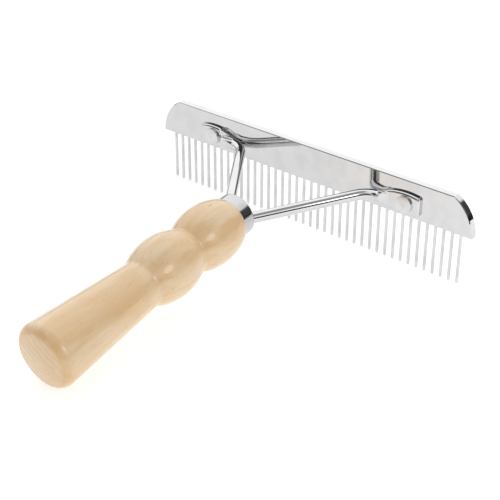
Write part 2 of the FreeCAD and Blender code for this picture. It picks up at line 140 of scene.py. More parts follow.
class RakeFinish(bpy.types.PropertyGroup):
    """Colours and roughness of the metal and the wood."""

    plate: colour("Plate", "Polished steel of the bar", 0.65, 0.65, 0.655)
    pin: colour("Pins", "Drawn steel of the pins", 0.69, 0.69, 0.695)
    rod: colour("Rods", "Chrome plating of the rods", 0.65, 0.65, 0.66)
    rivet: colour("Rivets", "Steel of the rivets", 0.68, 0.68, 0.685)
    ferrule: colour("Ferrule", "Chrome plating of the ferrule", 0.56, 0.555, 0.57)
    wood_light: colour("Light wood", "Early wood of each ring", 0.865, 0.675, 0.44)
    wood_middle: colour("Middle wood", "Most of the wood", 0.785, 0.59, 0.36)
    wood_amber: colour("Amber wood", "End grain and resin streaks", 0.76, 0.45, 0.18)
    wood_dark: colour("Dark fleck", "Pores and the pin knot", 0.30, 0.20, 0.12)
    ring_spacing: length("Ring spacing", "Distance between growth rings", 2.9)
    cloud_place: FloatVectorProperty(name="Cloud place",
                                     description="Middle of the resin cloud, along the handle",
                                     default=(-0.0030, -0.0275, 0.0120), size=3,
                                     subtype="TRANSLATION")
    lacquer: share("Lacquer", "Strength of the clear lacquer", 0.85)


class RakeStage(bpy.types.PropertyGroup):
    """Camera, floor and light."""

    aim: FloatVectorProperty(name="Aim", description="Point that the camera looks at",
                             default=(0.0143, 0.0241, 0.0189), size=3, subtype="TRANSLATION")
    azimuth: angle("Azimuth", "Camera's turn from behind the handle towards +X", 39.0)
    elevation: angle("Elevation", "Camera's height angle", 30.34)
    roll: angle("Roll", "Camera's turn about its own axis", 0.19)
    distance: length("Distance", "Camera to aim point", 540.0)
    lens: FloatProperty(name="Lens", description="Focal length in millimetres", default=89.86)
    floor_size: length("Floor size", "Side of the square floor", 6000.0)
    floor_glow: FloatProperty(name="Floor glow", description="Light that the table itself gives",
                              default=0.54)
    tent: FloatProperty(name="Tent", description="Brightness of the light tent", default=1.12)
    key_brightness: FloatProperty(name="Key brightness", description="Radiance of the soft box",
                                  default=3.4)
    key_width: length("Key width", "Diameter of the round soft box", 400.0)
    key_distance: length("Key distance", "Soft box to the tool", 1150.0)
    key_azimuth: angle("Key azimuth", "Soft box's turn from +Y towards +X", 92.0)
    key_elevation: angle("Key elevation", "Soft box's height angle", 34.0)


# ---------------------------------------------------------------------------------------------
# Node trees
# ---------------------------------------------------------------------------------------------

class Graph:
    """A thin wrapper that adds nodes with their inputs and settings in one call."""

    def __init__(self, tree):
        self.tree = tree
        tree.nodes.clear()

    def add(self, kind, inputs=None, output=0, **settings):
        """Add a node and give back one of its output sockets."""
        node = self.tree.nodes.new(kind)
        for setting, value in settings.items():
            setattr(node, setting, value)
        for name, value in (inputs or {}).items():
            self.give(node.inputs[name], value)
        return node.outputs[output] if node.outputs else node

    def give(self, socket, value):
        """Link a node's output to an input, or set the input's value."""
        if isinstance(value, bpy.types.NodeSocket):
            self.tree.links.new(value, socket)
        elif socket.type == "RGBA" and len(value) == 3:
            socket.default_value = (*value, 1.0)
        else:
            socket.default_value = value

    def math(self, operation, first, second=0.0):
        return self.add("ShaderNodeMath", {0: first, 1: second}, operation=operation)

    def vector(self, operation, first, second=(0.0, 0.0, 0.0), output=0):
        """Vector maths. second is the factor when the operation is SCALE."""
        inputs = {0: first}
        inputs["Scale" if operation == "SCALE" else 1] = second
        return self.add("ShaderNodeVectorMath", inputs, output, operation=operation)

    def grain(self, coordinates, stretch, scale, detail=2.0, roughness=0.5):
        """Noise that is stretched along each axis by its share."""
        stretched = self.vector("MULTIPLY", coordinates, stretch)
        return self.add("ShaderNodeTexNoise", {"Vector": stretched, "Scale": scale, "Detail": detail,
                                               "Roughness": roughness})

    def range(self, value, low, high, to_low=0.0, to_high=1.0, smooth=False):
        """Map low..high to to_low..to_high and hold the value beyond both ends."""
        kind = "SMOOTHSTEP" if smooth else "LINEAR"
        return self.add("ShaderNodeMapRange", {"Value": value, "From Min": low, "From Max": high,
                                               "To Min": to_low, "To Max": to_high},
                        interpolation_type=kind)

    def blend(self, share_of_second, first, second):
        """Mix two colours. The node keeps its factor and its colours behind these numbers."""
        return self.add("ShaderNodeMix", {0: share_of_second, 6: first, 7: second}, 2,
                        data_type="RGBA")

    def bump(self, height, strength):
        """A bump map whose height is in millimetres."""
        return self.add("ShaderNodeBump", {"Height": height, "Strength": strength,
                                           "Distance": MM})


def new_material(name):
    """A material with an empty graph and its surface shader, joined to the output."""
    material = bpy.data.materials.new(name)
    material.use_nodes = True
    graph = Graph(material.node_tree)
    shader = material.node_tree.nodes.new("ShaderNodeBsdfPrincipled")
    output = material.node_tree.nodes.new("ShaderNodeOutputMaterial")
    material.node_tree.links.new(shader.outputs["BSDF"], output.inputs["Surface"])
    return material, graph, shader


def millimetre_coordinates(graph):
    """A piece's own coordinates in millimetres."""
    place = graph.add("ShaderNodeTexCoord", output="Object")
    return graph.vector("SCALE", place, 1 / MM)


EVEN = (1.0, 1.0, 1.0)

# Metal. Scales are in waves per millimetre, ranges are the noise values between which a mark fades
# in, and shares say how much of a darker tint is mixed in.
HAZE_SCALE = 0.16
PIT_SCALE = 2.3
WAVE_SCALE = 0.11
SCRATCH_SCALE = 0.35  # of the polishing lines' scale
HAZE_RANGE = (0.35, 0.72)
PIT_RANGE = (0.72, 0.80)
SCRATCH_RANGE = (0.70, 0.76)
LINE_TINT_RANGE = (0.30, 0.75)
LINE_GLOSS_RANGE = (0.25, 0.75)
DULL_TINT = 0.90
PIT_TINT = 0.55
HAZE_SHARE = 0.60
LINE_SHARE = 0.14
PIT_SHARE = 0.12
HAZE_ROUGHNESS = 0.35  # of the metal's own roughness
SCRATCH_ROUGHNESS = 0.08


def metal(name, tint, roughness, lay, lay_scale, polish, lay_depth, wave_depth):
    """Polished or drawn metal: a fine lay of polishing lines, hazy patches and stray scratches.

    lay is the stretch of the polishing lines along X, Y and Z: the smallest share is the way
    that they run. polish is how far they change the roughness, as a share of it. The two depths,
    of the lines and of the slow waves in the surface, are in millimetres.
    """
    material, graph, shader = new_material(name)
    place = millimetre_coordinates(graph)
    lines = graph.grain(place, lay, lay_scale, detail=3.0, roughness=0.6)
    haze = graph.grain(place, EVEN, HAZE_SCALE, detail=3.0)
    pits = graph.grain(place, EVEN, PIT_SCALE, detail=1.0)
    across = graph.grain(place, (lay[2], lay[0], lay[1]), lay_scale * SCRATCH_SCALE, detail=1.0)
    scratches = graph.range(across, *SCRATCH_RANGE)
    worn = graph.range(haze, *HAZE_RANGE, smooth=True)

    dull = tuple(part * DULL_TINT for part in tint)
    shade = graph.blend(graph.math("MULTIPLY", worn, HAZE_SHARE), tint, dull)
    shade = graph.blend(graph.range(lines, *LINE_TINT_RANGE, 0.0, LINE_SHARE), shade, dull)
    speck = graph.range(pits, *PIT_RANGE, 0.0, PIT_SHARE)
    shade = graph.blend(speck, shade, tuple(part * PIT_TINT for part in tint))
    graph.give(shader.inputs["Base Color"], shade)

    gloss = graph.range(lines, *LINE_GLOSS_RANGE, roughness * (1 - polish),
                        roughness * (1 + polish))
    gloss = graph.math("ADD", gloss, graph.math("MULTIPLY", worn, roughness * HAZE_ROUGHNESS))
    gloss = graph.math("ADD", gloss, graph.math("MULTIPLY", scratches, SCRATCH_ROUGHNESS))
    graph.give(shader.inputs["Roughness"], gloss)
    shader.inputs["Metallic"].default_value = 1.0
    shader.inputs["IOR"].default_value = 2.5

    waves = graph.grain(place, EVEN, WAVE_SCALE, detail=1.0)
    height = graph.math("MULTIPLY", lines, lay_depth)
    height = graph.math("ADD", height, graph.math("MULTIPLY", waves, wave_depth))
    height = graph.math("SUBTRACT", height, graph.math("MULTIPLY", scratches, lay_depth * 2))
    graph.give(shader.inputs["Normal"], graph.bump(height, 1.0))
    return material


# Wood. Each grain has its stretch along X, Y and Z, its scale in waves per millimetre, its detail and
# its roughness. Y runs along the handle.
FIBRE = ((1.0, 0.028, 1.0), 3.2, 4.0, 0.62)
STREAK = ((0.34, 0.012, 0.34), 1.0, 3.0, 0.55)
RESIN_PATCH = ((0.075, 0.034, 0.075), 1.0, 2.0, 0.5)
PORE = ((1.0, 0.085, 1.0), 2.0, 1.0, 0.5)
WISP = ((0.30, 0.10, 0.30), 1.0, 3.0, 0.5)
RAGGED_EDGE = ((1.0, 0.4, 1.0), 2.4, 2.0, 0.5)
SMUDGE = ((0.12, 0.08, 0.12), 1.0, 3.0, 0.5)

# The values between which each figure fades in. Most are noise values. Late wood's are shares of a
# ring and the knot's are stretched millimetres. The two for the ends are 0 where the surface runs
# along the grain and 1 where it lies straight across it.
LATE_WOOD_RISE = (0.25, 0.93)
LATE_WOOD_FALL = (1.0, 0.955)
STREAK_RANGE = (0.33, 0.70)
RESIN_RANGE = (0.46, 0.64)
FIBRE_RANGE = (0.36, 0.74)
PORE_RANGE = (0.685, 0.75)
KNOT_RANGE = (1.55, 0.85)
FIBRE_GLOSS_RANGE = (0.3, 0.7)
SMUDGE_RANGE = (0.35, 0.70)
END_GRAIN_RANGE = (0.16, 0.80)
FLAT_END_RANGE = (0.86, 0.985)

# Places, widths and heights are in millimetres, along the handle's own axes. Shares say how much of
# a colour is mixed in.
PITH_AWAY = (24.0, 0.0, 31.0)  # to the wood from the middle of the growth rings
RING_DRIFT = 13.0
CLOUD_STRETCH = (1.0, 0.55, 1.0)
CLOUD_WISPS = 16.0
CLOUD_EDGE = 10.0
CLOUD_CORE = 2.0
CLOUD_SHARE = 0.38
FIGURE_SHARE = 0.16
END_FIGURE_SHARE = 0.80
RESIN_SHARE = 0.42
SOAKED_SHARE = 0.50
DRY_END_SHARE = 0.35
FIBRE_SHARE = 0.30
PORE_SHARE = 0.30
KNOT_SIDE = 0.4
KNOT_RAGGEDNESS = 0.9
KNOT_STRETCH = (1.9, 0.75, 0.5)
KNOT_SHARE = 0.62
FIBRE_HEIGHT = 0.010
LATE_WOOD_HEIGHT = 0.006
PORE_DEPTH = 0.012
KNOT_DEPTH = 0.05
WOOD_BUMP = 0.8
WOOD_ROUGHNESS = (0.40, 0.58)
LACQUER_ROUGHNESS = (0.07, 0.15)


def wood(finish, sizes, origin):
    """Pale lacquered wood whose grain runs along the handle."""
    material, graph, shader = new_material("lacquered_wood")
    place = graph.add("ShaderNodeTexCoord", output="Object")
    place = graph.vector("SUBTRACT", place, tuple(origin))
    place = graph.add("ShaderNodeVectorRotate", {"Vector": place, "Angle": -sizes.tilt},
                      rotation_type="X_AXIS")
    place = graph.vector("SCALE", place, 1 / MM)

    # Growth rings stand round a line beside the handle, so they show as long figures on the
    # sides and as arcs on the end. The node makes one ring every pi / 10 at a scale of 1.
    drift = graph.add("ShaderNodeTexNoise", {
        "Vector": graph.vector("MULTIPLY", place, (0.06, 0.016, 0.06)), "Scale": 1.0,
        "Detail": 2.0}, output="Color")
    drift = graph.vector("SCALE", graph.vector("SUBTRACT", drift, (0.5, 0.5, 0.5)), RING_DRIFT)
    pith = graph.vector("ADD", graph.vector("ADD", place, PITH_AWAY), drift)
    ring = graph.add("ShaderNodeTexWave", {
        "Vector": pith, "Scale": 2 * math.pi / (20 * finish.ring_spacing / MM),
        "Distortion": 1.3, "Detail": 2.0, "Detail Scale": 0.35},
        output="Fac", wave_type="RINGS", rings_direction="Y", wave_profile="SAW")
    late_wood = graph.math("MULTIPLY", graph.range(ring, *LATE_WOOD_RISE, smooth=True),
                           graph.range(ring, *LATE_WOOD_FALL, smooth=True))

    fibre = graph.grain(place, *FIBRE)
    streak = graph.grain(place, *STREAK)
    patch = graph.grain(place, *RESIN_PATCH)
    pore = graph.grain(place, *PORE)
    pores = graph.range(pore, *PORE_RANGE)

    surface = graph.add("ShaderNodeNewGeometry", output="Normal")
    axis = (0.0, math.cos(sizes.tilt), math.sin(sizes.tilt))
    facing = graph.math("ABSOLUTE", graph.vector("DOT_PRODUCT", surface, axis, output="Value"))
    end_grain = graph.range(facing, *END_GRAIN_RANGE, smooth=True)
    flat_end = graph.range(facing, *FLAT_END_RANGE, smooth=True)

    shade = graph.blend(graph.range(streak, *STREAK_RANGE, smooth=True),
                        finish.wood_light, finish.wood_middle)
    figure = graph.math("MULTIPLY", late_wood, graph.range(flat_end, 0.0, 1.0, FIGURE_SHARE,
                                                           END_FIGURE_SHARE))
    shade = graph.blend(figure, shade, finish.wood_amber)
    resin = graph.math("MULTIPLY", graph.range(patch, *RESIN_RANGE, smooth=True), RESIN_SHARE)
    shade = graph.blend(resin, shade, finish.wood_amber)

    # A resin cloud lies on the upper left of the first bead.
    middle = tuple(part / MM for part in finish.cloud_place)
    cloud = graph.vector("MULTIPLY", graph.vector("SUBTRACT", place, middle), CLOUD_STRETCH)
    wisps = graph.grain(place, *WISP)
    cloud = graph.math("ADD", graph.vector("LENGTH", cloud, output="Value"),
                       graph.math("MULTIPLY", graph.math("SUBTRACT", wisps, 0.5), CLOUD_WISPS))
    cloud = graph.range(cloud, CLOUD_EDGE, CLOUD_CORE, smooth=True)
    shade = graph.blend(graph.math("MULTIPLY", cloud, CLOUD_SHARE), shade, finish.wood_amber)

    # Slanting end grain is soaked darker, and the flat end is paler.
    slanting = graph.math("SUBTRACT", end_grain, flat_end)
    shade = graph.blend(graph.math("MULTIPLY", slanting, SOAKED_SHARE), shade, finish.wood_amber)
    shade = graph.blend(graph.math("MULTIPLY", flat_end, DRY_END_SHARE), shade, finish.wood_light)
    shade = graph.blend(graph.range(fibre, *FIBRE_RANGE, 0.0, FIBRE_SHARE), shade,
                        finish.wood_amber)
    shade = graph.blend(graph.math("MULTIPLY", pores, PORE_SHARE), shade, finish.wood_dark)

    # One small pin knot lies on top of the first bead.
    away = graph.vector("ADD", place,
                        (-KNOT_SIDE, sizes.flaw_place / MM, -bead_top(sizes) / MM))
    away = graph.vector("MULTIPLY", away, KNOT_STRETCH)
    ragged = graph.grain(place, *RAGGED_EDGE)
    knot = graph.math("ADD", graph.vector("LENGTH", away, output="Value"),
                      graph.math("MULTIPLY", ragged, KNOT_RAGGEDNESS))
    knot = graph.range(knot, *KNOT_RANGE, smooth=True)
    shade = graph.blend(graph.math("MULTIPLY", knot, KNOT_SHARE), shade, finish.wood_dark)
    graph.give(shader.inputs["Base Color"], shade)

    graph.give(shader.inputs["Roughness"],
               graph.range(fibre, *FIBRE_GLOSS_RANGE, *WOOD_ROUGHNESS))
    shader.inputs["Coat Weight"].default_value = finish.lacquer
    smudge = graph.grain(place, *SMUDGE)
    graph.give(shader.inputs["Coat Roughness"],
               graph.range(smudge, *SMUDGE_RANGE, *LACQUER_ROUGHNESS))
    height = graph.math("ADD", graph.math("MULTIPLY", fibre, FIBRE_HEIGHT),
                        graph.math("MULTIPLY", late_wood, LATE_WOOD_HEIGHT))
    height = graph.math("SUBTRACT", height, graph.math("MULTIPLY", pores, PORE_DEPTH))
    height = graph.math("SUBTRACT", height, graph.math("MULTIPLY", knot, KNOT_DEPTH))
    graph.give(shader.inputs["Normal"], graph.bump(height, WOOD_BUMP))
    return material


# ---------------------------------------------------------------------------------------------
# Meshes
# ---------------------------------------------------------------------------------------------

def smoothstep(low, high, value):
    """0 below low, 1 above high and a smooth rise between them."""
    part = min(max((value - low) / (high - low), 0.0), 1.0)
    return part * part * (3 - 2 * part)


def soft_min(first, second, softness):
    """The smaller of two values, with a rounded join this wide."""
    share_of_first = min(max(0.5 + 0.5 * (second - first) / softness, 0.0), 1.0)
    mixed = second + (first - second) * share_of_first
    return mixed - softness * share_of_first * (1 - share_of_first)


def soft_max(first, second, softness):
    return -soft_min(-first, -second, softness)


def skin(name, rings, material, crease):
    """Join rings of equally many points into a closed piece. A ring of one point is a pole."""
    points = []
    starts = []
    for ring in rings:
        starts.append(len(points))
        points.extend(ring)
    faces = []
    for index in range(len(rings) - 1):
        near, far = starts[index], starts[index + 1]
        near_count, far_count = len(rings[index]), len(rings[index + 1])
        for step in range(max(near_count, far_count)):
            corners = [near + step % near_count, far + step % far_count,
                       far + (step + 1) % far_count, near + (step + 1) % near_count]
            faces.append(list(dict.fromkeys(corners)))
    mesh = bpy.data.meshes.new(name)
    mesh.from_pydata([tuple(point) for point in points], [], faces)
    mesh.validate()
    mesh.shade_smooth()
    mesh.set_sharp_from_angle(angle=crease)
    mesh.materials.append(material)
    piece = bpy.data.objects.new(name, mesh)
    bpy.context.scene.collection.objects.link(piece)
    return piece


def outward(piece):
    """Turn the faces outward by the sign of the enclosed volume."""
    volume = 0.0
    for face in piece.data.polygons:
        corners = [piece.data.vertices[index].co for index in face.vertices]
        for second, third in zip(corners[1:], corners[2:]):
            volume += corners[0].dot(second.cross(third))
    if abs(volume) < TINY:
        raise RuntimeError(f"{piece.name} encloses nothing")
    if volume < 0:
        piece.data.flip_normals()
    return piece


# Steps along each part of the rods' centre line and round each corner of their sections.
CORNER_STEPS = 14
TANG_STEPS = 8
FERRULE_BEND_STEPS = 16
STRAIGHT_STEPS = 24
BAR_BEND_STEPS = 40
PADDLE_STEPS = 110
PADDLE_CROWDING = 1.35  # draws the paddle's steps together towards its outer end
ARM_POINTS_ROUND = 128


def rounded_box_ring(half_width, half_depth, outer, inner, count):
    """Points spaced evenly round a rounded box, from the middle of its outer side.

    outer and inner are the corners' radii on the side away from the bar and beside it.
    """
    half = []
    for radius, out in ((outer, 1), (inner, -1)):
        for step in range(CORNER_STEPS + 1):
            turn = math.pi / 2 * (step if out > 0 else CORNER_STEPS - step) / CORNER_STEPS
            half.append((half_width - radius * (1 - math.sin(turn)),
                         out * (half_depth - radius * (1 - math.cos(turn)))))
    corners = [(0.0, half_depth), *half, (0.0, -half_depth)]
    corners += [(-across, out) for across, out in reversed(half)]
    corners.append(corners[0])
    lengths = [math.dist(first, second) for first, second in zip(corners, corners[1:])]
    total = sum(lengths)
    points = []
    index = 0
    passed = 0.0
    for number in range(count):
        wanted = total * number / count
        while passed + lengths[index] < wanted:
            passed += lengths[index]
            index += 1
        part = (wanted - passed) / max(lengths[index], TINY)
        first, second = corners[index], corners[index + 1]
        points.append((first[0] + (second[0] - first[0]) * part,
                       first[1] + (second[1] - first[1]) * part))
    return points


def arm_line(sizes):
    """The centre line of the right rod as (x, back, turn) places, from the tang to the bar.

    back runs down the rods' plane, away from the bar, and turn is the rod's own direction
    from straight ahead towards +X.
    """
    radius = sizes.rod_diameter / 2
    bend = sizes.v_angle

    # The straight part would meet the paddle's line at the corner, and the tang's at the cross.
    corner_back = radius / math.cos(sizes.slope)
    corner_x = sizes.spread - corner_back * math.tan(bend)
    cross_back = (sizes.spread - sizes.tang_offset) / math.tan(bend)

    # The tang and the bend inside the ferrule.
    line = []
    tang_end = cross_back + sizes.tang_length
    first_bend = cross_back + sizes.ferrule_bend * math.tan(bend / 2)
    for step in range(TANG_STEPS):
        back = tang_end + (first_bend - tang_end) * step / TANG_STEPS
        line.append((sizes.tang_offset, back, 0.0))
    centre_x = sizes.tang_offset + sizes.ferrule_bend
    for step in range(FERRULE_BEND_STEPS + 1):
        turn = bend * step / FERRULE_BEND_STEPS
        line.append((centre_x - sizes.ferrule_bend * math.cos(turn),
                     first_bend - sizes.ferrule_bend * math.sin(turn), turn))

    # The straight part, up to the start of the bend beside the bar.
    last_turn = math.pi / 2
    bar_step = sizes.bar_bend * math.tan((last_turn - bend) / 2)
    start_x = corner_x - bar_step * math.sin(bend)
    start_back = corner_back + bar_step * math.cos(bend)
    leave_x, leave_back, _ = line[-1]
    for step in range(1, STRAIGHT_STEPS):
        part = step / STRAIGHT_STEPS
        line.append((leave_x + (start_x - leave_x) * part,
                     leave_back + (start_back - leave_back) * part, bend))

    # That bend, and the paddle along the bar.
    centre_x = start_x + sizes.bar_bend * math.cos(bend)
    centre_back = start_back + sizes.bar_bend * math.sin(bend)
    for step in range(BAR_BEND_STEPS + 1):
        turn = bend + (last_turn - bend) * step / BAR_BEND_STEPS
        line.append((centre_x - sizes.bar_bend * math.cos(turn),
                     centre_back - sizes.bar_bend * math.sin(turn), turn))
    end_x = line[-1][0]
    for step in range(1, PADDLE_STEPS + 1):
        part = 1 - (1 - step / PADDLE_STEPS) ** PADDLE_CROWDING
        line.append((end_x + (sizes.paddle_end - end_x) * part, corner_back, last_turn))
    return line


PRESS_REACH = 0.98  # share of the hollow's radius over which it cuts the rod


def press(sizes, press_end, x, depth):
    """How far out a point stands once the press has hollowed the end of the round rod."""
    before_end = max(press_end - x, 0.0)
    if before_end > sizes.press_radius * PRESS_REACH:
        return depth
    hollow = sizes.paddle_thickness + sizes.step_rounding + sizes.press_radius
    hollow -= math.sqrt(sizes.press_radius ** 2 - before_end ** 2)
    hollow += max(x - press_end, 0.0)
    return soft_min(depth, hollow, sizes.step_rounding)


# Where the rod turns into the paddle, along the bar. It is pressed flat beside the end of its press
# step, laid level from the rods' spread to the end of the right press step, and widened beyond the
# spread.
PRESSING_FROM = -3 * MM
PRESSING_TO = 0.3 * MM
LEVELLING_FROM = -4 * MM
LEVELLING_TO = -2 * MM
WIDENING_FROM = 1.6 * MM
WIDENING_TO = 4 * MM
LENS_JOIN = 0.8 * MM  # softness of the join between the rod's width and the paddle's


def arm_ring(sizes, place, side, count):
    """One section of a rod or paddle, in the tool's frame."""
    x, back, turn = place
    radius = sizes.rod_diameter / 2
    flat = sizes.paddle_thickness / 2
    press_end = sizes.left_press_end if side < 0 else sizes.right_press_end

    # How far the section is pressed flat, laid level with the bar and widened into the paddle.
    pressing = smoothstep(press_end + PRESSING_FROM, press_end + PRESSING_TO, x)
    levelling = smoothstep(sizes.spread + LEVELLING_FROM, sizes.right_press_end + LEVELLING_TO, x)
    widening = smoothstep(sizes.spread + WIDENING_FROM, sizes.spread + WIDENING_TO, x)

    # The paddle is a lens between two long arcs, squared off with rounded corners.
    reach = x - RIVET_X
    lens = math.sqrt(max(sizes.paddle_side ** 2 - reach ** 2, 0.0))
    lens = lens - sizes.paddle_side + sizes.paddle_half_width
    half_width = radius + (soft_max(radius, lens, LENS_JOIN) - radius) * widening

    # Its outer corners and its rim are rounded towards the end.
    into_corner = x - (sizes.paddle_end - sizes.paddle_corner)
    if into_corner > 0:
        left = max(sizes.paddle_corner ** 2 - into_corner ** 2, 0.0)
        half_width -= sizes.paddle_corner - math.sqrt(left)
    into_rim = x - (sizes.paddle_end - sizes.paddle_rounding)
    drop = 0.0
    if into_rim > 0:
        left = max(sizes.paddle_rounding ** 2 - into_rim ** 2, 0.0)
        drop = sizes.paddle_rounding - math.sqrt(left)

    half_depth = radius + (flat - radius) * pressing
    inner = radius + (sizes.paddle_inner_rounding - radius) * pressing
    inner = min(inner, half_width, half_depth)
    outer = radius + (sizes.paddle_rounding - radius) * pressing
    outer = min(outer, half_width, 2 * half_depth - inner)

    lean = sizes.slope * (1 - levelling)
    depth = back * math.cos(sizes.slope) * (1 - pressing) + flat * pressing
    height = -back * math.sin(sizes.slope) * (1 - levelling)
    ring = []
    for across, out in rounded_box_ring(half_width, half_depth, outer, inner, count):
        in_plane = out * math.sin(turn)
        point_x = x + out * math.cos(turn)
        point_depth = depth + in_plane * math.cos(lean) + across * math.sin(lean)
        point_z = height - in_plane * math.sin(lean) + across * math.cos(lean)
        if x > sizes.spread:
            # The flange beside the round rod is as thin as the paddle.
            point_depth = press(sizes, press_end, point_x, point_depth)
            flange = sizes.paddle_thickness + sizes.step_rounding
            flange += max(radius - abs(across), 0.0) * sizes.flange_slope
            flange += (1 - widening) * sizes.rod_diameter
            point_depth = soft_min(point_depth, flange, sizes.step_rounding)
        if drop and out > 0:
            point_depth -= drop * smoothstep(0.0, half_depth, out)
        point_depth = max(point_depth, 0.0)
        ring.append(Vector((point_x * side, BAR_BACK - point_depth, PADDLE_Z + point_z)))
    return ring


# Steps along each part of the handle's profile, and round it.
TENON_STEPS = 4
SHOULDER_STEPS = 8
LENGTH_STEPS = 230
GRIP_CORNER_STEPS = 18
DOME_STEPS = 16
HANDLE_POINTS_ROUND = 144
SANDING_SPOT = (14 * MM, 22 * MM, 14 * MM)  # size of one hollow that sanding leaves


def handle_profile(sizes):
    """(radius, distance back) places from the tenon's front to the middle of the domed end."""
    corner_circle = sizes.grip_end_radius - sizes.grip_corner
    dome_reach = sizes.grip_dome - sizes.grip_corner
    dome_rise = math.sqrt(dome_reach ** 2 - corner_circle ** 2)
    dome_centre = sizes.grip_corner_place - dome_rise
    taper_radius = corner_circle + sizes.grip_corner * math.cos(sizes.grip_taper)
    taper_place = sizes.grip_corner_place - sizes.grip_corner * math.sin(sizes.grip_taper)
    neck = taper_radius - (taper_place - sizes.neck_place) * math.tan(sizes.grip_taper)

    def bead(place, start, start_radius, end, end_radius):
        """Radius of a bead at a place, given its two ends."""
        run, rise = end - start, end_radius - start_radius
        chord = math.hypot(run, rise)
        drop = math.sqrt(sizes.bead_curve ** 2 - chord ** 2 / 4)
        centre_place = (start + end) / 2 + rise / chord * drop
        centre_radius = (start_radius + end_radius) / 2 - run / chord * drop
        reach = sizes.bead_curve ** 2 - (place - centre_place) ** 2
        return centre_radius + math.sqrt(max(reach, 0.0))

    def outside(place):
        first = bead(place, sizes.ferrule_length, sizes.shoulder_radius,
                     sizes.groove_place, sizes.groove_radius)
        second = bead(place, sizes.groove_place, sizes.groove_radius, sizes.neck_place, neck)
        grip = neck + (place - sizes.neck_place) * math.tan(sizes.grip_taper)
        halfway = (sizes.groove_place + sizes.neck_place) / 2
        if place < halfway:
            return soft_max(first, second, sizes.groove_rounding)
        return soft_max(second, grip, sizes.groove_rounding)

    profile = [(sizes.tenon_radius * step / TENON_STEPS, sizes.tenon_front)
               for step in range(TENON_STEPS + 1)]
    profile.append((sizes.tenon_radius, sizes.ferrule_length))
    soft = sizes.shoulder_rounding
    for step in range(SHOULDER_STEPS + 1):
        turn = math.pi / 2 * step / SHOULDER_STEPS
        place = sizes.ferrule_length + soft * (1 - math.cos(turn))
        profile.append((outside(place) - soft * (1 - math.sin(turn)), place))
    start = sizes.ferrule_length + soft
    for step in range(1, LENGTH_STEPS + 1):
        place = start + (taper_place - start) * step / LENGTH_STEPS
        profile.append((outside(place), place))
    last_turn = math.atan2(dome_rise, corner_circle)
    for step in range(1, GRIP_CORNER_STEPS + 1):
        turn = -sizes.grip_taper + (last_turn + sizes.grip_taper) * step / GRIP_CORNER_STEPS
        profile.append((corner_circle + sizes.grip_corner * math.cos(turn),
                        sizes.grip_corner_place + sizes.grip_corner * math.sin(turn)))
    for step in range(1, DOME_STEPS + 1):
        turn = last_turn + (math.pi / 2 - last_turn) * step / DOME_STEPS
        profile.append((sizes.grip_dome * math.cos(turn) * (step < DOME_STEPS),
                        dome_centre + sizes.grip_dome * math.sin(turn)))
    return profile


def handle_origin(sizes):
    """The ferrule's front centre, so high that the grip's rounded end just reaches the floor."""
    corner_circle = sizes.grip_end_radius - sizes.grip_corner
    height = (sizes.grip_corner_place * math.sin(sizes.tilt)
              + corner_circle * math.cos(sizes.tilt) + sizes.grip_corner)
    return Vector((0.0, BAR_BACK - sizes.ferrule_gap, height))


def bead_top(sizes):
    """The first bead's radius where the pin knot lies."""
    profile = handle_profile(sizes)
    outside = profile[TENON_STEPS + 2:]
    return min(outside, key=lambda spot: abs(spot[1] - sizes.flaw_place))[0]


# ---------------------------------------------------------------------------------------------
# Operators, one for each group of like pieces
# ---------------------------------------------------------------------------------------------

# Edges that turn by more than this are shaded as creases.
ROD_CREASE = math.radians(40)
HANDLE_CREASE = math.radians(35)


def dress(node_names, material):
    """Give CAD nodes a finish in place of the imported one."""
    for name in node_names:
        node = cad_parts.get(name)
        if node is None:
            raise RuntimeError(f"the frame has no node {name}")
        node.data.materials.clear()
        node.data.materials.append(material)


class RAKE_OT_head_bar(bpy.types.Operator):
    """Finish the bar in polished steel"""

    bl_idname = "rake.head_bar"
    bl_label = "Head bar"

    def execute(self, context):
        finish = context.scene.rake_finish
        dress(["head_bar"], metal("polished_plate", finish.plate, roughness=0.055,
                                  lay=(0.02, 1.0, 1.0), lay_scale=5.0, polish=0.35,
                                  lay_depth=0.0002, wave_depth=0.010))
        return {"FINISHED"}


class RAKE_OT_pins(bpy.types.Operator):
    """Finish the row of pins in drawn steel"""

    bl_idname = "rake.pins"
    bl_label = "Pins"

    def execute(self, context):
        finish = context.scene.rake_finish
        dress(PIN_NODES, metal("drawn_pin_steel", finish.pin, roughness=0.32,
                               lay=(1.0, 1.0, 0.03), lay_scale=6.0, polish=0.2,
                               lay_depth=0.0, wave_depth=0.0))
        return {"FINISHED"}


class RAKE_OT_arms(bpy.types.Operator):
    """Build both rods with their pressed paddles"""

    bl_idname = "rake.arms"
    bl_label = "Arms"

    def execute(self, context):
        sizes = context.scene.rake_arm_sizes
        finish = context.scene.rake_finish
        plating = metal("rod_chrome_plating", finish.rod, roughness=0.07,
                        lay=(0.05, 0.05, 1.0), lay_scale=3.0, polish=0.3,
                        lay_depth=0.0003, wave_depth=0.006)
        places = arm_line(sizes)
        for name, side in (("left", -1), ("right", 1)):
            rings = [arm_ring(sizes, place, side, ARM_POINTS_ROUND) for place in places]
            for index, edge in ((0, rings[0]), (len(rings) + 1, rings[-1])):
                middle = sum(edge, Vector()) / len(edge)
                rings.insert(index, [middle])
            arm = outward(skin(f"{name}_rod", rings, plating, ROD_CREASE))
            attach(arm, "root")
            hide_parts(f"{name}_arm")
        return {"FINISHED"}


class RAKE_OT_rivets(bpy.types.Operator):
    """Finish the two rivets in steel"""

    bl_idname = "rake.rivets"
    bl_label = "Rivets"

    def execute(self, context):
        finish = context.scene.rake_finish
        steel = metal("rivet_steel", finish.rivet, roughness=0.24,
                      lay=(1.0, 1.0, 0.2), lay_scale=2.5, polish=0.25,
                      lay_depth=0.0004, wave_depth=0.004)
        dress(["left_rivet", "right_rivet"], steel)
        return {"FINISHED"}


